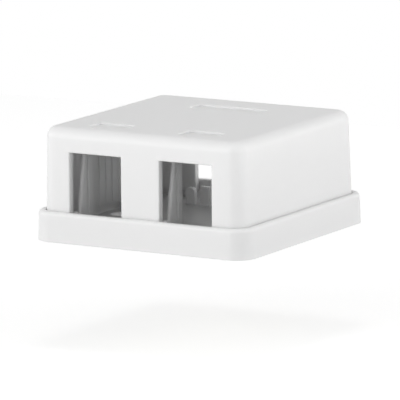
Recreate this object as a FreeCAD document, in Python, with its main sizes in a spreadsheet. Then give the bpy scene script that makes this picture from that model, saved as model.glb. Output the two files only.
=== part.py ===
import FreeCAD, Part
import math
import os
import Sketcher

# Surface mount jack box with two ports: a base moulding with a proud rim, a cover moulding that
# drops inside the rim, and two strips of foam tape with their release liners under the base.
# Frame: +Z up, ports face -Y, the origin is the middle of the base's underside. Lengths are in mm.

SIZES = [
    # base moulding
    ("side_rim_wall", 1.825, "foot of the rim's left and right walls"),
    ("end_rim_wall", 1.65, "foot of the rim's front and rear walls"),
    ("rim_height", 7.5, "top of the base's rim"),
    ("base_draft", 1.4, "lean of the base's outer walls, degrees"),
    ("base_corner", 5.1, "outer corner radius of the base"),
    ("rim_round", 0.9, "rounding of the rim's outer top edge"),
    ("floor_thick", 2.0, "floor of the base"),
    ("fit_gap", 0.15, "clearance all round between cover and rim"),
    ("rim_inner_round", 0.3, "rounding of the rim's inner top edge"),
    # cover moulding
    ("cover_width", 56.95, "cover, side to side, at its lower edge"),
    ("cover_depth", 55.1, "cover, front to back, at its lower edge"),
    ("cover_top", 28.0, "height of the cover's top face"),
    ("cover_seat", 4.0, "height of the cover's lower edge on the seat ribs"),
    ("cover_draft", 1.15, "lean of the cover's walls, degrees"),
    ("cover_wall", 1.75, "thickness of the cover's walls"),
    ("cover_roof", 1.8, "thickness of the cover's top"),
    ("cover_corner", 3.7, "outer corner radius of the cover"),
    ("cover_round", 2.7, "rounding of the cover's top edge"),
    ("roof_fillet", 0.9, "fillet between the walls and the top, inside"),
    # port windows in the cover
    ("port_pitch", 25.5, "distance between the two ports"),
    ("port_width", 14.7, "width of a port window"),
    ("port_top", 22.05, "height of a port window's upper edge"),
    ("opening_round", 0.35, "rounding of the outer edges of windows and cable entry"),
    # cable entry at the rear
    ("entry_side", 11.325, "from the cover's side to the cable entry"),
    ("entry_top", 17.5, "height of the cable entry's upper edge"),
    ("entry_relief", 0.75, "how far the entry cuts down into the rim"),
    ("relief_side", 1.5, "how far that cut reaches past the entry, each side"),
    # label recesses in the top
    ("label_deep", 0.5, "depth of the label recesses"),
    ("label_corner", 0.7, "corner radius of the label recesses"),
    ("port_label_width", 10.0, "port label recess, side to side"),
    ("port_label_depth", 6.1, "port label recess, front to back"),
    ("port_label_inset", 8.2, "middle of the port label recesses, in from the cover's front"),
    ("rear_label_width", 19.8, "rear label recess, side to side"),
    ("rear_label_depth", 5.5, "rear label recess, front to back"),
    ("rear_label_inset", 13.55, "middle of the rear label recess, in from the cover's rear"),
    # grooves inside the cover's side walls
    ("groove_pitch", 2.9, "distance between side wall grooves"),
    ("groove_width", 1.45, "width of a side wall groove"),
    ("groove_deep", 0.15, "depth of a side wall groove at its lower end"),
    ("groove_low", 4.6, "height of the grooves' lower ends"),
    ("groove_high", 22.0, "height of the grooves' upper ends"),
    # jack guides that stand on the base, a pair at each port
    ("guide_gap", 0.3, "clearance from a window's edge to its guide"),
    ("guide_wall", 0.8, "thickness of a guide"),
    ("guide_top", 22.0, "height of a guide"),
    ("guide_front", 4.45, "foot of a guide's front edge, behind the cover's front wall's face"),
    ("guide_lean", 3.6, "how far a guide's front edge leans back on its way up"),
    ("guide_rear", 11.45, "foot of a guide's rear edge, behind the cover's front wall's face"),
    ("guide_rear_lean", 0.1, "how far a guide's rear edge leans forward on its way up"),
    ("guide_round", 0.6, "rounding of a guide's leading edge on the jack's side"),
    ("slot_back", 9.05, "middle of a guide's slot, behind the cover's front wall's face"),
    ("slot_width", 0.7, "width of the slot in a guide"),
    ("slot_deep", 0.35, "depth of the slot in a guide"),
    # sill and lugs behind the cover's front wall
    ("sill_top", 5.9, "height of the sill that a jack stands on"),
    ("sill_back", 3.4, "front of the sill, behind the cover's front wall's face"),
    ("sill_thick", 1.5, "thickness of the sill"),
    ("lug_top", 7.3, "height of the lugs that trap the cover's front wall"),
    ("lug_inside", 1.0, "how far a lug reaches into its window"),
    ("lug_outside", 1.6, "how far a lug reaches past its window"),
    ("lug_thick", 0.9, "thickness of a lug"),
    ("lug_gap", 0.25, "clearance from the cover's front wall to a lug"),
    # ribs that carry the cover
    ("seat_width", 1.4, "length of a seat rib along its wall"),
    ("seat_deep", 2.2, "how far a seat rib stands in from its wall"),
    ("seat_side", 9.0, "seat ribs on the side walls, distance from the middle"),
    ("seat_inset", 6.0, "seat ribs on the front and rear walls, in from the cover's sides"),
    # spring tongues that press on the cover's side walls
    ("tongue_gap", 0.45, "clearance from a tongue to the cover's wall"),
    ("tongue_thick", 1.2, "thickness of a tongue"),
    ("tongue_width", 6.0, "width of a tongue"),
    ("tongue_top", 12.0, "height of a tongue"),
    ("tongue_front_inset", 7.05, "middle of the front tongues, in from the cover's front"),
    ("tongue_rear_inset", 13.55, "middle of the rear tongues, in from the cover's rear"),
    ("tongue_lead", 0.7, "chamfer on a tongue's top outer edge"),
    # comb that parts and ties the cables
    ("comb_inset", 8.55, "front face of the comb, in from the cover's rear"),
    ("comb_thick", 1.2, "thickness of the comb's fingers"),
    ("comb_pitch", 4.2, "distance between the comb's fingers"),
    ("finger_width", 2.55, "width of a comb finger"),
    ("finger_top", 6.8, "height of the inner fingers"),
    ("end_finger_top", 6.2, "height of the two end fingers"),
    ("end_finger_round", 1.0, "rounding at the top of the end fingers"),
    # oval holes for the wall screws, each in a raised collar
    ("fixing_x", 19.0, "wall screw holes, distance to each side of the middle"),
    ("fixing_y", 4.0, "wall screw holes, distance in front of the middle"),
    ("fixing_wide", 4.5, "width of a wall screw hole"),
    ("fixing_travel", 3.6, "distance between the two round ends of a wall screw hole"),
    ("collar_wall", 1.9, "wall of the collar round a screw hole"),
    ("collar_rise", 1.0, "height of a collar above the floor"),
    # foam tape under the base
    ("recess_side", 7.45, "from the base's side to the end of a tape recess"),
    ("recess_end", 6.35, "from the base's front or rear to its tape recess"),
    ("recess_depth", 13.0, "tape recess, front to back"),
    ("recess_deep", 1.0, "depth of the tape recesses"),
    ("tape_margin", 0.5, "clearance between the tape and its recess"),
    ("foam_thick", 0.8, "thickness of the foam tape"),
    ("liner_thick", 0.12, "thickness of the release liner"),
    ("tape_corner", 1.5, "corner radius of the tape and its liner"),
]
size = {name: value for name, value, note in SIZES}

CUT_MARGIN = 1.0  # how far a cutting sketch starts outside the plastic
TINY = 0.01       # tolerance for finding edges by their place
ORIGIN = -1       # how Sketcher numbers its own origin
LINE_START, LINE_END, ARC_CENTRE = range(1, 4)  # and the points of a line or an arc

# Places that several features share, written once in the sheet's own names.
COVER_FRONT = "-Sizes.cover_depth / 2"
PORT_HALF = "Sizes.port_width / 2"
GUIDE_FACE = "Sizes.port_width / 2 + Sizes.guide_gap"
COVER_REAR = "Sizes.cover_depth / 2"
ENTRY_HALF = "(Sizes.cover_width / 2 - Sizes.entry_side)"
RIM_HALF_X = "Sizes.cover_width / 2 + Sizes.fit_gap"
RIM_HALF_Y = "Sizes.cover_depth / 2 + Sizes.fit_gap"
BASE_HALF_X = f"{RIM_HALF_X} + Sizes.side_rim_wall"
BASE_HALF_Y = f"{RIM_HALF_Y} + Sizes.end_rim_wall"
RECESS_WIDTH = f"2 * ({BASE_HALF_X} - Sizes.recess_side)"
RECESS_Y = f"({BASE_HALF_Y} - Sizes.recess_end - Sizes.recess_depth / 2)"

doc = FreeCAD.newDocument("surface_mount_jack_box")
sheet = doc.addObject("Spreadsheet::Sheet", "Sizes")
for row, (name, value, note) in enumerate(SIZES, start=1):
    sheet.set(f"A{row}", name)
    sheet.set(f"B{row}", str(value))
    sheet.setAlias(f"B{row}", name)
    sheet.set(f"C{row}", note)
doc.recompute()


# ---------------------------------------------------------------- helpers
def new_body(label):
    body = doc.addObject("PartDesign::Body", label)
    body.Label = label
    return body


def new_sketch(body, name, role="XY_Plane", offset="0"):
    """A sketch on one of the body's own origin planes, moved off it along its normal."""
    sketch = body.newObject("Sketcher::SketchObject", name)
    plane = [feature for feature in body.Origin.OriginFeatures if feature.Role == role][0]
    sketch.AttachmentSupport = [(plane, "")]
    sketch.MapMode = "FlatFace"
    sketch.setExpression("AttachmentOffset.Base.z", offset)
    return sketch


def dimension(sketch, kind, line, point, expression, rough=1.0):
    """Ties one point of a line to the sketch's origin, along X or Y. rough is only a first value."""
    index = sketch.addConstraint(Sketcher.Constraint(kind, ORIGIN, LINE_START, line, point, rough))
    sketch.setExpression(f"Constraints[{index}]", expression)


def outline(sketch, corners):
    """A closed outline of straight lines, each corner given by its two coordinates' formulas."""
    count = len(corners)
    start = sketch.GeometryCount
    turn = [(-1, -1), (1, -1), (1, 1), (-1, 1)]
    points = [FreeCAD.Vector(x, y, 0) for x, y in turn[:count]]
    for number in range(count):
        sketch.addGeometry(Part.LineSegment(points[number], points[(number + 1) % count]), False)
    for number, (x, y) in enumerate(corners):
        before = start + (number - 1) % count
        sketch.addConstraint(Sketcher.Constraint("Coincident", before, LINE_END,
                                                start + number, LINE_START))
        dimension(sketch, "DistanceX", start + number, LINE_START, x)
        dimension(sketch, "DistanceY", start + number, LINE_START, y)


def rectangle(sketch, low_x, high_x, low_y, high_y):
    outline(sketch, [(low_x, low_y), (high_x, low_y), (high_x, high_y), (low_x, high_y)])


def centred(sketch, x, y, width, depth):
    """A rectangle given by its middle and its two full sizes."""
    rectangle(sketch, f"{x} - {width} / 2", f"{x} + {width} / 2",
              f"{y} - {depth} / 2", f"{y} + {depth} / 2")


def settle(feature):
    """Recomputes the document and stops if the newest feature or its sketch failed."""
    doc.recompute()
    for item in [feature] + feature.OutList:
        if "Invalid" in item.State or "Error" in item.State:
            raise RuntimeError(f"{item.Name} can't be made: {item.getStatusString()}")


def pad(body, sketch, length, backwards=False):
    feature = body.newObject("PartDesign::Pad", f"{sketch.Name}_pad")
    feature.Profile = sketch
    feature.Reversed = backwards
    feature.setExpression("Length", length)
    settle(feature)
    return feature


def pocket(body, sketch, length, backwards=False):
    """A pocket that has to take plastic away; one that points the wrong way is an error."""
    volume = body.Shape.Volume
    feature = body.newObject("PartDesign::Pocket", f"{sketch.Name}_cut")
    feature.Profile = sketch
    feature.Reversed = backwards
    feature.setExpression("Length", length)
    settle(feature)
    if body.Shape.Volume >= volume:
        raise RuntimeError(f"{feature.Name} cuts nothing")
    return feature


def dress(body, kind, name, chosen, amount):
    """A fillet or chamfer on every edge of the body's tip for which chosen(edge) is true."""
    tip = body.Tip
    edges = [f"Edge{number}" for number, edge in enumerate(tip.Shape.Edges, start=1) if chosen(edge)]
    if not edges:
        raise RuntimeError(f"{name} finds no edge")
    feature = body.newObject(f"PartDesign::{kind}", name)
    feature.Base = (tip, edges)
    feature.setExpression("Radius" if kind == "Fillet" else "Size", amount)
    settle(feature)
    return feature


def lean(body, name, half_x, half_y, height, angle, hollow=False):
    """Tilts the upright faces inside, or on, a rectangle inward, about the flat face at a height."""
    tip = body.Tip
    faces = list(enumerate(tip.Shape.Faces, start=1))
    walls = [f"Face{number}" for number, face in faces
             if stays_within(face, half_x, half_y) and face.BoundBox.ZLength > TINY]
    flats = [f"Face{number}" for number, face in faces if level(face, height)]
    if not walls or not flats:
        raise RuntimeError(f"{name} finds no face")
    feature = body.newObject("PartDesign::Draft", name)
    feature.Base = (tip, walls)
    feature.NeutralPlane = (tip, flats[:1])
    feature.Reversed = hollow
    feature.setExpression("Angle", angle)
    settle(feature)


def near(a, b):
    return abs(a - b) < TINY


def upright(edge):
    """True for an edge that climbs, whether straight up or along a drafted wall."""
    box = edge.BoundBox
    return box.ZLength > 2 * max(box.XLength, box.YLength)


def level(edge, height):
    box = edge.BoundBox
    return near(box.ZMin, height) and near(box.ZMax, height)


def stays_within(edge, half_x, half_y):
    """True for an edge that stays inside, or on, a rectangle about the middle."""
    box = edge.BoundBox
    reach_x = max(abs(box.XMin), abs(box.XMax))
    reach_y = max(abs(box.YMin), abs(box.YMax))
    return reach_x < half_x + TINY and reach_y < half_y + TINY


def foot(edge):
    """The lowest point of an edge."""
    return min((vertex.Point for vertex in edge.Vertexes), key=lambda point: point.z)


def stands_at(edge, x, y):
    """True for a climbing edge whose foot is at plus or minus x and plus or minus y."""
    point = foot(edge)
    return upright(edge) and near(abs(point.x), x) and near(abs(point.y), y)


def oval(sketch, x, y, radius, travel, rough):
    """A slot outline along X: two half rounds joined by straight sides, near the rough middle."""
    reach = FreeCAD.Vector(size["fixing_travel"] / 2, 0, 0)
    half = size["fixing_wide"] / 2
    side = FreeCAD.Vector(0, half, 0)
    start = sketch.GeometryCount
    left = rough - reach
    right = rough + reach
    up = FreeCAD.Vector(0, 0, 1)
    quarter = math.pi / 2
    sketch.addGeometry(Part.ArcOfCircle(Part.Circle(right, up, half), -quarter, quarter), False)
    sketch.addGeometry(Part.LineSegment(right + side, left + side), False)
    sketch.addGeometry(Part.ArcOfCircle(Part.Circle(left, up, half), quarter, 3 * quarter), False)
    sketch.addGeometry(Part.LineSegment(left - side, right - side), False)
    for number in range(4):
        following = start + (number + 1) % 4
        sketch.addConstraint(Sketcher.Constraint("Tangent", start + number, LINE_END,
                                                following, LINE_START))
    sketch.addConstraint(Sketcher.Constraint("Equal", start, start + 2))
    round_size = sketch.addConstraint(Sketcher.Constraint("Radius", start, half))
    sketch.setExpression(f"Constraints[{round_size}]", radius)
    for line, direction, middle in ((start, "+", right), (start + 2, "-", left)):
        dimension(sketch, "DistanceX", line, ARC_CENTRE, f"{x} {direction} {travel} / 2", middle.x)
        dimension(sketch, "DistanceY", line, ARC_CENTRE, y, middle.y)


# ---------------------------------------------------------------- base
SIDES = (-1, 1)
rim_half_x = size["cover_width"] / 2 + size["fit_gap"]
rim_half_y = size["cover_depth"] / 2 + size["fit_gap"]

base = new_body("base")
outer = new_sketch(base, "base_outline")
rectangle(outer, f"-({BASE_HALF_X})", BASE_HALF_X, f"-({BASE_HALF_Y})", BASE_HALF_Y)
pad(base, outer, "Sizes.rim_height")
lean(base, "base_walls", size["cover_width"] / 2 + size["fit_gap"] + size["side_rim_wall"],
     size["cover_depth"] / 2 + size["fit_gap"] + size["end_rim_wall"], 0, "Sizes.base_draft")
dress(base, "Fillet", "base_corners", upright, "Sizes.base_corner")

tray = new_sketch(base, "tray", offset="Sizes.rim_height")
rectangle(tray, f"-({RIM_HALF_X})", RIM_HALF_X, f"-({RIM_HALF_Y})", RIM_HALF_Y)
pocket(base, tray, "Sizes.rim_height - Sizes.floor_thick")
dress(base, "Fillet", "tray_corners", lambda edge: stands_at(edge, rim_half_x, rim_half_y),
      "Sizes.cover_corner + Sizes.fit_gap")

dress(base, "Fillet", "rim_edge",
      lambda edge: level(edge, size["rim_height"]) and not stays_within(edge, rim_half_x, rim_half_y),
      "Sizes.rim_round")
dress(base, "Fillet", "rim_inner_edge",
      lambda edge: level(edge, size["rim_height"]) and stays_within(edge, rim_half_x, rim_half_y),
      "Sizes.rim_inner_round")

# The rear of the rim is cut a little lower across the cable entry.
relief = new_sketch(base, "entry_relief", offset="Sizes.rim_height")
rectangle(relief, f"-({ENTRY_HALF} + Sizes.relief_side)", f"{ENTRY_HALF} + Sizes.relief_side",
          f"{RIM_HALF_Y} - {CUT_MARGIN}", f"{BASE_HALF_Y} + {CUT_MARGIN}")
pocket(base, relief, "Sizes.entry_relief")

# Short ribs along the walls carry the cover's lower edge.
seats = new_sketch(base, "seat_ribs", offset="Sizes.floor_thick")
for wall in SIDES:
    for side in SIDES:
        inner_x = f"{wall} * ({RIM_HALF_X} - Sizes.seat_deep)"
        inner_y = f"{wall} * ({RIM_HALF_Y} - Sizes.seat_deep)"
        rectangle(seats, inner_x, f"{wall} * ({RIM_HALF_X})",
                  f"{side} * Sizes.seat_side - Sizes.seat_width / 2",
                  f"{side} * Sizes.seat_side + Sizes.seat_width / 2")
        seat_x = f"{side} * (Sizes.cover_width / 2 - Sizes.seat_inset)"
        rectangle(seats, f"{seat_x} - Sizes.seat_width / 2", f"{seat_x} + Sizes.seat_width / 2",
                  inner_y, f"{wall} * ({RIM_HALF_Y})")
pad(base, seats, "Sizes.cover_seat - Sizes.floor_thick")

# A pair of tall guides at each port: plates across the front wall whose front edge leans back.
guide_faces = []
for port, port_name in zip(SIDES, ("left", "right")):
    for side, side_name in zip(SIDES, ("left", "right")):
        face = f"{port} * Sizes.port_pitch / 2 + {side} * ({GUIDE_FACE})"
        guide_faces.append(port * size["port_pitch"] / 2
                           + side * (size["port_width"] / 2 + size["guide_gap"]))
        plate = new_sketch(base, f"{port_name}_port_{side_name}_guide", "YZ_Plane", face)
        outline(plate, [
            (f"{COVER_FRONT} + Sizes.guide_front", "Sizes.floor_thick"),
            (f"{COVER_FRONT} + Sizes.guide_rear", "Sizes.floor_thick"),
            (f"{COVER_FRONT} + Sizes.guide_rear - Sizes.guide_rear_lean", "Sizes.guide_top"),
            (f"{COVER_FRONT} + Sizes.guide_front + Sizes.guide_lean", "Sizes.guide_top")])
        pad(base, plate, "Sizes.guide_wall", backwards=side < 0)
        slot = new_sketch(base, f"{port_name}_port_{side_name}_slot", "YZ_Plane", face)
        rectangle(slot, f"{COVER_FRONT} + Sizes.slot_back - Sizes.slot_width / 2",
                  f"{COVER_FRONT} + Sizes.slot_back + Sizes.slot_width / 2",
                  "Sizes.sill_top", f"Sizes.guide_top + {CUT_MARGIN}")
        pocket(base, slot, "Sizes.slot_deep", backwards=side > 0)


def leads_guide(edge):
    """The front edge of a guide on the side that faces the jack."""
    point = foot(edge)
    front = size["guide_front"] - size["cover_depth"] / 2
    return (upright(edge) and near(point.y, front)
            and any(near(point.x, face) for face in guide_faces))


dress(base, "Fillet", "guide_leads", leads_guide, "Sizes.guide_round")

# A sill across each port for the jack's foot, and lugs that trap the cover's front wall.
sills = new_sketch(base, "sills", offset="Sizes.floor_thick")
lugs = new_sketch(base, "lugs", offset="Sizes.floor_thick")
for port in SIDES:
    middle = f"{port} * Sizes.port_pitch / 2"
    rectangle(sills, f"{middle} - ({GUIDE_FACE})", f"{middle} + ({GUIDE_FACE})",
              f"{COVER_FRONT} + Sizes.sill_back",
              f"{COVER_FRONT} + Sizes.sill_back + Sizes.sill_thick")
    for side in SIDES:
        reach = [f"{middle} + {side} * ({PORT_HALF} - Sizes.lug_inside)",
                 f"{middle} + {side} * ({PORT_HALF} + Sizes.lug_outside)"]
        lug_front = f"{COVER_FRONT} + Sizes.cover_wall + Sizes.lug_gap"
        rectangle(lugs, reach[0], reach[1], lug_front, f"{lug_front} + Sizes.lug_thick")
pad(base, sills, "Sizes.sill_top - Sizes.floor_thick")
pad(base, lugs, "Sizes.lug_top - Sizes.floor_thick")

# Tongues that press outward on the inside of the cover's side walls.
tongues = new_sketch(base, "tongues", offset="Sizes.floor_thick")
tongue_face = "(Sizes.cover_width / 2 - Sizes.cover_wall - Sizes.tongue_gap)"
for side in SIDES:
    for place in (f"{COVER_FRONT} + Sizes.tongue_front_inset", f"{COVER_REAR} - Sizes.tongue_rear_inset"):
        rectangle(tongues, f"{side} * ({tongue_face} - Sizes.tongue_thick)", f"{side} * {tongue_face}",
                  f"{place} - Sizes.tongue_width / 2", f"{place} + Sizes.tongue_width / 2")
pad(base, tongues, "Sizes.tongue_top - Sizes.floor_thick")
tongue_face_x = size["cover_width"] / 2 - size["cover_wall"] - size["tongue_gap"]
dress(base, "Chamfer", "tongue_leads",
      lambda edge: (level(edge, size["tongue_top"]) and near(abs(edge.BoundBox.Center.x), tongue_face_x)),
      "Sizes.tongue_lead")

# A comb of upright fingers behind the middle of the floor; the two end ones are lower and rounded.
FINGERS_EACH_SIDE = 4
comb = new_sketch(base, "comb", offset="Sizes.floor_thick")
comb_ends = new_sketch(base, "comb_ends", offset="Sizes.floor_thick")
for side in SIDES:
    for number in range(FINGERS_EACH_SIDE):
        target = comb_ends if number == FINGERS_EACH_SIDE - 1 else comb
        centred(target, f"{side} * {number + 0.5} * Sizes.comb_pitch",
                f"({COVER_REAR} - Sizes.comb_inset + Sizes.comb_thick / 2)",
                "Sizes.finger_width", "Sizes.comb_thick")
pad(base, comb, "Sizes.finger_top - Sizes.floor_thick")
pad(base, comb_ends, "Sizes.end_finger_top - Sizes.floor_thick")
dress(base, "Fillet", "end_finger_tops",
      lambda edge: level(edge, size["end_finger_top"]) and near(edge.BoundBox.YLength, size["comb_thick"]),
      "Sizes.end_finger_round")

# Oval holes for the wall screws, each in a raised collar.
collars = new_sketch(base, "collars", offset="Sizes.floor_thick")
holes = new_sketch(base, "screw_holes", offset="Sizes.floor_thick + Sizes.collar_rise")
for side in SIDES:
    rough = FreeCAD.Vector(side * size["fixing_x"], -size["fixing_y"], 0)
    oval(collars, f"{side} * Sizes.fixing_x", "-Sizes.fixing_y",
         "Sizes.fixing_wide / 2 + Sizes.collar_wall", "Sizes.fixing_travel", rough)
    oval(holes, f"{side} * Sizes.fixing_x", "-Sizes.fixing_y",
         "Sizes.fixing_wide / 2", "Sizes.fixing_travel", rough)
pad(base, collars, "Sizes.collar_rise")
pocket(base, holes, f"Sizes.floor_thick + Sizes.collar_rise + {CUT_MARGIN}")

# Recesses in the underside for the foam tape.
recesses = new_sketch(base, "tape_recesses")
for side in SIDES:
    centred(recesses, "0", f"{side} * {RECESS_Y}", RECESS_WIDTH, "Sizes.recess_depth")
pocket(base, recesses, "Sizes.recess_deep", backwards=True)

# ---------------------------------------------------------------- cover
cover = new_body("cover")
skin = new_sketch(cover, "cover_outline", offset="Sizes.cover_seat")
centred(skin, "0", "0", "Sizes.cover_width", "Sizes.cover_depth")
pad(cover, skin, "Sizes.cover_top - Sizes.cover_seat")
lean(cover, "cover_walls", size["cover_width"] / 2, size["cover_depth"] / 2, size["cover_seat"],
     "Sizes.cover_draft")
dress(cover, "Fillet", "cover_corners", upright, "Sizes.cover_corner")
dress(cover, "Fillet", "top_edge", lambda edge: level(edge, size["cover_top"]), "Sizes.cover_round")

cavity = new_sketch(cover, "cavity", offset="Sizes.cover_seat")
centred(cavity, "0", "0", "(Sizes.cover_width - 2 * Sizes.cover_wall)",
        "(Sizes.cover_depth - 2 * Sizes.cover_wall)")
pocket(cover, cavity, "Sizes.cover_top - Sizes.cover_roof - Sizes.cover_seat", backwards=True)
cavity_half_x = size["cover_width"] / 2 - size["cover_wall"]
cavity_half_y = size["cover_depth"] / 2 - size["cover_wall"]
lean(cover, "cavity_walls", cavity_half_x, cavity_half_y, size["cover_seat"], "Sizes.cover_draft",
     hollow=True)
dress(cover, "Fillet", "cavity_corners", lambda edge: stands_at(edge, cavity_half_x, cavity_half_y),
      "Sizes.cover_corner - Sizes.cover_wall")
dress(cover, "Fillet", "cavity_roof",
      lambda edge: level(edge, size["cover_top"] - size["cover_roof"]), "Sizes.roof_fillet")

# Port windows: notches that run down to the cover's lower edge.
windows = new_sketch(cover, "port_windows", "XZ_Plane", f"Sizes.cover_depth / 2 + {CUT_MARGIN}")
for port in SIDES:
    middle = f"{port} * Sizes.port_pitch / 2"
    rectangle(windows, f"{middle} - {PORT_HALF}", f"{middle} + {PORT_HALF}",
              f"Sizes.cover_seat - {CUT_MARGIN}", "Sizes.port_top")
pocket(cover, windows, f"Sizes.cover_wall + 2 * {CUT_MARGIN}")

# Cable entry: a wide notch in the rear wall.
entry = new_sketch(cover, "cable_entry", "XZ_Plane", f"-(Sizes.cover_depth / 2 + {CUT_MARGIN})")
rectangle(entry, f"-{ENTRY_HALF}", ENTRY_HALF,
          f"Sizes.cover_seat - {CUT_MARGIN}", "Sizes.entry_top")
pocket(cover, entry, f"Sizes.cover_wall + 2 * {CUT_MARGIN}", backwards=True)

port_sides = [side * size["port_pitch"] / 2 + other * size["port_width"] / 2
              for side in SIDES for other in SIDES]
entry_sides = [side * (size["cover_width"] / 2 - size["entry_side"]) for side in SIDES]


def frames_opening(edge):
    """The outer edges of the windows and the entry, apart from the cover's lower edge."""
    if level(edge, size["cover_seat"]):
        return False
    reach = (size["cover_depth"] - size["cover_wall"]) / 2
    points = [vertex.Point for vertex in edge.Vertexes]
    front = all(point.y < -reach and any(near(point.x, x) for x in port_sides) for point in points)
    rear = all(point.y > reach and any(near(point.x, x) for x in entry_sides) for point in points)
    return front or rear


dress(cover, "Fillet", "opening_edges", frames_opening, "Sizes.opening_round")

# Shallow recesses in the top for stick-on labels, one at each port and a long one at the rear.
labels = new_sketch(cover, "label_recesses", offset="Sizes.cover_top")
for port in SIDES:
    centred(labels, f"{port} * Sizes.port_pitch / 2", f"{COVER_FRONT} + Sizes.port_label_inset",
            "Sizes.port_label_width", "Sizes.port_label_depth")
centred(labels, "0", f"{COVER_REAR} - Sizes.rear_label_inset",
        "Sizes.rear_label_width", "Sizes.rear_label_depth")
pocket(cover, labels, "Sizes.label_deep")
dress(cover, "Fillet", "label_corners",
      lambda edge: (near(edge.BoundBox.ZMin, size["cover_top"] - size["label_deep"])
                    and near(edge.BoundBox.ZLength, size["label_deep"])),
      "Sizes.label_corner")

# Vertical grooves weaken the side walls from inside, so that they can be cut out for a cable.
GROOVES = 4
for side, name in zip(SIDES, ("left", "right")):
    start = f"{side} * (Sizes.cover_width / 2 - Sizes.cover_wall - {CUT_MARGIN})"
    grooves = new_sketch(cover, f"{name}_grooves", "YZ_Plane", start)
    for number in range(GROOVES):
        place = f"{number - (GROOVES - 1) / 2} * Sizes.groove_pitch"
        rectangle(grooves, f"{place} - Sizes.groove_width / 2", f"{place} + Sizes.groove_width / 2",
                  "Sizes.groove_low", "Sizes.groove_high")
    pocket(cover, grooves, f"Sizes.groove_deep + {CUT_MARGIN}", backwards=side > 0)

# ---------------------------------------------------------------- foam tape and release liners
strips = []
for side, name in zip(SIDES, ("front", "rear")):
    layers = (("foam_pad", "Sizes.recess_deep - Sizes.foam_thick", "Sizes.foam_thick"),
              ("liner", "Sizes.recess_deep - Sizes.foam_thick - Sizes.liner_thick", "Sizes.liner_thick"))
    for kind, bottom, thickness in layers:
        strip = new_body(f"{kind}_{name}")
        shape = new_sketch(strip, f"{kind}_{name}_outline", offset=bottom)
        centred(shape, "0", f"{side} * {RECESS_Y}", f"({RECESS_WIDTH} - 2 * Sizes.tape_margin)",
                "(Sizes.recess_depth - 2 * Sizes.tape_margin)")
        pad(strip, shape, thickness)
        dress(strip, "Fillet", f"{kind}_{name}_corners",
              lambda edge: edge.BoundBox.ZLength > max(edge.BoundBox.XLength, edge.BoundBox.YLength),
              "Sizes.tape_corner")
        strips.append(strip)

# ---------------------------------------------------------------- checks and files
doc.recompute()
for item in doc.Objects:
    if "Invalid" in item.State or "Error" in item.State:
        raise RuntimeError(f"{item.Name} is {item.State}")
parts = [base, cover] + strips
for part in parts:
    if part.Shape.isNull() or not part.Shape.isValid() or len(part.Shape.Solids) != 1:
        raise RuntimeError(f"{part.Label} is not one valid solid")

os.makedirs("parts", exist_ok=True)
for part in parts:
    part.Shape.exportStep(f"parts/{part.Label}.step")
    box = part.Shape.BoundBox
    print(f"{part.Label}: {box.XLength:.2f} x {box.YLength:.2f} x {box.ZLength:.2f} mm, "
          f"z {box.ZMin:.2f} to {box.ZMax:.2f}, {part.Shape.Volume:.0f} mm3")
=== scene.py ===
# %% [markdown]
# # A surface mount jack box, dressed in Blender
#
# The solid parts of this little wall box come ready from CAD: a base with a proud rim, a cover that
# drops inside it, and two strips of foam tape with their release liners underneath. What is left to
# do here is the finish. The box is plain white ABS, so its looks hang on very small things: a fine
# satin grain, soft edges, and light that is let into the ports.

import math

import bpy
from mathutils import Matrix, Vector

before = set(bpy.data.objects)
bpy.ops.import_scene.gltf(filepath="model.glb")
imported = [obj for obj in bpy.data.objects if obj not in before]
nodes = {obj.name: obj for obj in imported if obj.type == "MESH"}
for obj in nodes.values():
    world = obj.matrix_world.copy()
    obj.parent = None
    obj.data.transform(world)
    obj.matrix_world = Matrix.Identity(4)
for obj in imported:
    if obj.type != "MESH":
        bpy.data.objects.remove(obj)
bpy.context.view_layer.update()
print("nodes:", sorted(nodes))

# %% [markdown]
# ## Where the eye stands
#
# The box is looked at from far away through a long lens, which keeps its edges nearly parallel. The
# camera is placed by its azimuth and elevation about the box's middle, and it is rolled by one
# degree, because the box hangs a touch askew in its frame.

# %% Camera
CAMERA_AZIMUTH = math.radians(31.83)
CAMERA_ELEVATION = math.radians(10.64)
CAMERA_ROLL = math.radians(-1.07)
CAMERA_DISTANCE = 1.2984
SENSOR_WIDTH = 36.0
LENS = 478.8
LOOK_AT_HEIGHT = 0.00755


def aim_camera(azimuth, elevation, roll, distance, target):
    """A camera that looks at target from a distance, as a matrix of its right, up and back."""
    right = Vector((math.cos(azimuth), math.sin(azimuth), 0))
    back = Vector((math.sin(azimuth) * math.cos(elevation),
                   -math.cos(azimuth) * math.cos(elevation), math.sin(elevation)))
    up = back.cross(right)
    turned_right = right * math.cos(roll) + up * math.sin(roll)
    turned_up = up * math.cos(roll) - right * math.sin(roll)
    turn = Matrix((turned_right, turned_up, back)).transposed()
    return Matrix.Translation(target + back * distance) @ turn.to_4x4()


camera_data = bpy.data.cameras.new("long_lens")
camera_data.sensor_width = SENSOR_WIDTH
camera_data.lens = LENS
camera_data.clip_end = 10.0
camera = bpy.data.objects.new("long_lens", camera_data)
camera.matrix_world = aim_camera(CAMERA_AZIMUTH, CAMERA_ELEVATION, CAMERA_ROLL, CAMERA_DISTANCE,
                                 Vector((0, 0, LOOK_AT_HEIGHT)))
bpy.context.scene.collection.objects.link(camera)
bpy.context.scene.camera = camera
print("camera at", [round(value, 3) for value in camera.location])

# %% [markdown]
# ## Floor, backdrop and light
#
# A pale floor lies a little below the box, and a soft light from above leaves only a faint shadow
# on it. The camera sees the floor as white wherever no shadow falls. A bright room lights the box
# from the front, and two broad lamps from the left and from the right. A weak lamp overhead is why
# the top of the box is a little greyer than its walls. Two narrow lamps, one for the front and one
# for the right side, only brighten the upper part of those walls.

# %% Floor
FLOOR_DROP = 0.0265  # from the box's underside down to the floor
FLOOR_HALF = 0.28    # half the floor's width

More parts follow.
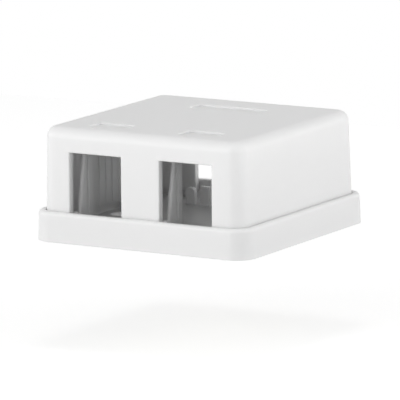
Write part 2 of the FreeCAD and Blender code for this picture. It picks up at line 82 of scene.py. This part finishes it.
floor_mesh = bpy.data.meshes.new("floor")
floor_mesh.from_pydata([(-FLOOR_HALF, -FLOOR_HALF, 0), (FLOOR_HALF, -FLOOR_HALF, 0),
                        (FLOOR_HALF, FLOOR_HALF, 0), (-FLOOR_HALF, FLOOR_HALF, 0)],
                       [], [(0, 1, 2, 3)])
floor = bpy.data.objects.new("floor", floor_mesh)
floor.location.z = -FLOOR_DROP
bpy.context.scene.collection.objects.link(floor)
print("floor", round(1000 * FLOOR_DROP, 1), "mm below the box")

# %% What every material starts from


def new_material(name):
    """A bare node material with one Principled BSDF, and the means to add nodes to it."""
    material = bpy.data.materials.new(name)
    material.use_nodes = True
    tree = material.node_tree
    return material, tree, tree.nodes["Principled BSDF"]


def seen_directly(tree):
    """1 for the eye and for what a gloss or a clear piece shows, 0 for the light on the pieces."""
    path = tree.nodes.new("ShaderNodeLightPath")
    seen = path.outputs["Is Camera Ray"]
    for ray in ("Is Glossy Ray", "Is Transmission Ray"):
        either = tree.nodes.new("ShaderNodeMath")
        either.operation = "MAXIMUM"
        tree.links.new(seen, either.inputs[0])
        tree.links.new(path.outputs[ray], either.inputs[1])
        seen = either.outputs[0]
    return seen


print("ready to make materials")

# %% Floor finish
FLOOR_GREY = 0.88
FLOOR_LIFT = 0.405  # a glow for the eye and reflections, so that the unshadowed floor is white
floor_material, tree, shader = new_material("pale_floor")
shader.inputs["Base Color"].default_value = (FLOOR_GREY, FLOOR_GREY, FLOOR_GREY, 1)
shader.inputs["Roughness"].default_value = 1.0
shader.inputs["Specular IOR Level"].default_value = 0.0
shader.inputs["Emission Color"].default_value = (1, 1, 1, 1)
lift = tree.nodes.new("ShaderNodeMath")
lift.operation = "MULTIPLY"
lift.inputs[1].default_value = FLOOR_LIFT
tree.links.new(seen_directly(tree), lift.inputs[0])
tree.links.new(lift.outputs[0], shader.inputs["Emission Strength"])
floor_mesh.materials.append(floor_material)
print("floor finish:", floor_material.name)

# %% The room's light
WORLD_FRONT = 0.87  # what the room gives from the eye's side
WORLD_BACK = 0.12   # and from behind the box
world = bpy.data.worlds.new("studio")
world.use_nodes = True
bpy.context.scene.world = world
tree = world.node_tree
background = tree.nodes["Background"]
background.inputs["Color"].default_value = (1, 1, 1, 1)
direction = tree.nodes.new("ShaderNodeTexCoord")
facing = tree.nodes.new("ShaderNodeVectorMath")
facing.operation = "DOT_PRODUCT"
facing.inputs[1].default_value = (math.sin(CAMERA_AZIMUTH), -math.cos(CAMERA_AZIMUTH), 0)
tree.links.new(direction.outputs["Generated"], facing.inputs[0])
glow = tree.nodes.new("ShaderNodeMapRange")
glow.inputs["From Min"].default_value = -1.0
glow.inputs["To Min"].default_value = WORLD_BACK
glow.inputs["To Max"].default_value = WORLD_FRONT
tree.links.new(facing.outputs["Value"], glow.inputs["Value"])
strength = tree.nodes.new("ShaderNodeMix")
strength.inputs["B"].default_value = 1.0
tree.links.new(seen_directly(tree), strength.inputs["Factor"])
tree.links.new(glow.outputs[0], strength.inputs["A"])
tree.links.new(strength.outputs["Result"], background.inputs["Strength"])
bpy.context.scene.view_settings.view_transform = "Standard"
print("room:", WORLD_FRONT, "in front,", WORLD_BACK, "behind")

# %% Lamps


def soft_lamp(name, azimuth, elevation, distance, width, height, power, spread=180, aim=0.01):
    """A lamp of a given width and height, turned to the point aim above the underside's middle."""
    data = bpy.data.lights.new(name, "AREA")
    data.shape = "RECTANGLE"
    data.size = width
    data.size_y = height
    data.spread = math.radians(spread)
    data.energy = power
    lamp = bpy.data.objects.new(name, data)
    lamp.matrix_world = aim_camera(math.radians(azimuth), math.radians(elevation), 0.0, distance,
                                   Vector((0, 0, aim)))
    bpy.context.scene.collection.objects.link(lamp)


soft_lamp("left_lamp", -43, 12, distance=1.6, width=2.2, height=1.0, power=13.4)
soft_lamp("right_lamp", 114, 10, distance=0.6, width=0.8, height=0.5, power=1.6)
soft_lamp("top_lamp", 30, 85, distance=0.9, width=0.25, height=0.25, power=0.56)
for name, azimuth, power in (("face_lamp", -8, 0.0074), ("side_lamp", 99, 0.0098)):
    soft_lamp(name, azimuth, 8, distance=0.35, width=0.5, height=0.03, power=power,
              spread=14, aim=0.042)
print("lamps:", sorted(light.name for light in bpy.data.lights))

# %% [markdown]
# ## Grain that several materials share
#
# Moulded ABS is never mirror smooth. One node group gives a fine satin grain, and very slow changes
# of tone and gloss, from the place on the piece.

# %% Satin grain group
GRAIN_DETAIL = 2.0
DRIFT_DETAIL = 3.0


def socket(group, name, kind, way, value=None):
    made = group.interface.new_socket(name=name, in_out=way, socket_type=kind)
    if value is not None:
        made.default_value = value


def satin_grain_group():
    """Fine grain and slow drift, as one height and one tone, from the object's own coordinates."""
    group = bpy.data.node_groups.new("satin_grain", "ShaderNodeTree")
    socket(group, "Grain Scale", "NodeSocketFloat", "INPUT", 2600.0)
    socket(group, "Drift Scale", "NodeSocketFloat", "INPUT", 60.0)
    socket(group, "Height", "NodeSocketFloat", "OUTPUT")
    socket(group, "Drift", "NodeSocketFloat", "OUTPUT")
    add = group.nodes.new
    inside, outside = add("NodeGroupInput"), add("NodeGroupOutput")
    place = add("ShaderNodeTexCoord")
    grain, drift = add("ShaderNodeTexNoise"), add("ShaderNodeTexNoise")
    grain.inputs["Detail"].default_value = GRAIN_DETAIL
    drift.inputs["Detail"].default_value = DRIFT_DETAIL
    link = group.links.new
    link(place.outputs["Object"], grain.inputs["Vector"])
    link(place.outputs["Object"], drift.inputs["Vector"])
    link(inside.outputs["Grain Scale"], grain.inputs["Scale"])
    link(inside.outputs["Drift Scale"], drift.inputs["Scale"])
    link(grain.outputs["Fac"], outside.inputs["Height"])
    link(drift.outputs["Fac"], outside.inputs["Drift"])
    return group


satin_grain = satin_grain_group()
print("group:", satin_grain.name)

# %% Tones, roughness and grain
COLOUR_A, COLOUR_B, COLOUR_OUT = 6, 7, 2  # the Mix node's sockets for colours
BUMP_STRENGTH = 0.25


def blended(tree, low, high, mask):
    """A colour between low and high, by a mask from 0 to 1."""
    mix = tree.nodes.new("ShaderNodeMix")
    mix.data_type = "RGBA"
    mix.inputs[COLOUR_A].default_value = (*low, 1)
    mix.inputs[COLOUR_B].default_value = (*high, 1)
    tree.links.new(mask, mix.inputs["Factor"])
    return mix.outputs[COLOUR_OUT]


def between(tree, low, high, mask):
    """A plain value between low and high, by a mask from 0 to 1."""
    spread = tree.nodes.new("ShaderNodeMapRange")
    spread.inputs["To Min"].default_value = low
    spread.inputs["To Max"].default_value = high
    tree.links.new(mask, spread.inputs["Value"])
    return spread.outputs[0]


def grained_material(name, low, high, roughness, grain_scale, depth):
    """A matte or satin piece: two near tones, a roughness range and a grain of a given depth."""
    material, tree, shader = new_material(name)
    grain = tree.nodes.new("ShaderNodeGroup")
    grain.node_tree = satin_grain
    grain.inputs["Grain Scale"].default_value = grain_scale
    tree.links.new(blended(tree, low, high, grain.outputs["Drift"]), shader.inputs["Base Color"])
    tree.links.new(between(tree, *roughness, grain.outputs["Drift"]), shader.inputs["Roughness"])
    bump = tree.nodes.new("ShaderNodeBump")
    bump.inputs["Strength"].default_value = BUMP_STRENGTH
    bump.inputs["Distance"].default_value = depth
    tree.links.new(grain.outputs["Height"], bump.inputs["Height"])
    tree.links.new(bump.outputs["Normal"], shader.inputs["Normal"])
    return material


print("ready to make grained materials")

# %% [markdown]
# ## The three finishes
#
# ABS lets a little light in, so it scatters under the surface for about a millimetre and a half.
# The foam is dull and coarse, and the liners on it are smooth, waxy and a little yellow.

# %% Materials
ABS_DEPTH = 0.0015    # how far light goes into the plastic
ABS_SCATTER = 0.7

white_plastic = grained_material("white_plastic", (0.79, 0.79, 0.79), (0.815, 0.815, 0.815),
                                 (0.38, 0.46), 2600.0, 0.00003)
shader = white_plastic.node_tree.nodes["Principled BSDF"]
shader.inputs["Subsurface Weight"].default_value = ABS_SCATTER
shader.inputs["Subsurface Radius"].default_value = (1.0, 1.0, 1.0)
shader.inputs["Subsurface Scale"].default_value = ABS_DEPTH
foam_tape = grained_material("foam_tape", (0.66, 0.66, 0.65), (0.72, 0.72, 0.71),
                             (0.85, 0.95), 1400.0, 0.0001)
release_liner = grained_material("release_liner", (0.74, 0.72, 0.62), (0.78, 0.76, 0.67),
                                 (0.30, 0.38), 900.0, 0.00001)

PIECE_MATERIALS = {"cover": white_plastic, "base": white_plastic,
                   "foam_pad_front": foam_tape, "foam_pad_rear": foam_tape,
                   "liner_front": release_liner, "liner_rear": release_liner}
for name, material in PIECE_MATERIALS.items():
    mesh = nodes[name].data
    mesh.materials.clear()
    mesh.materials.append(material)
print("materials:", {name: material.name for name, material in PIECE_MATERIALS.items()})

# %% End of the scene
print("scene set up")
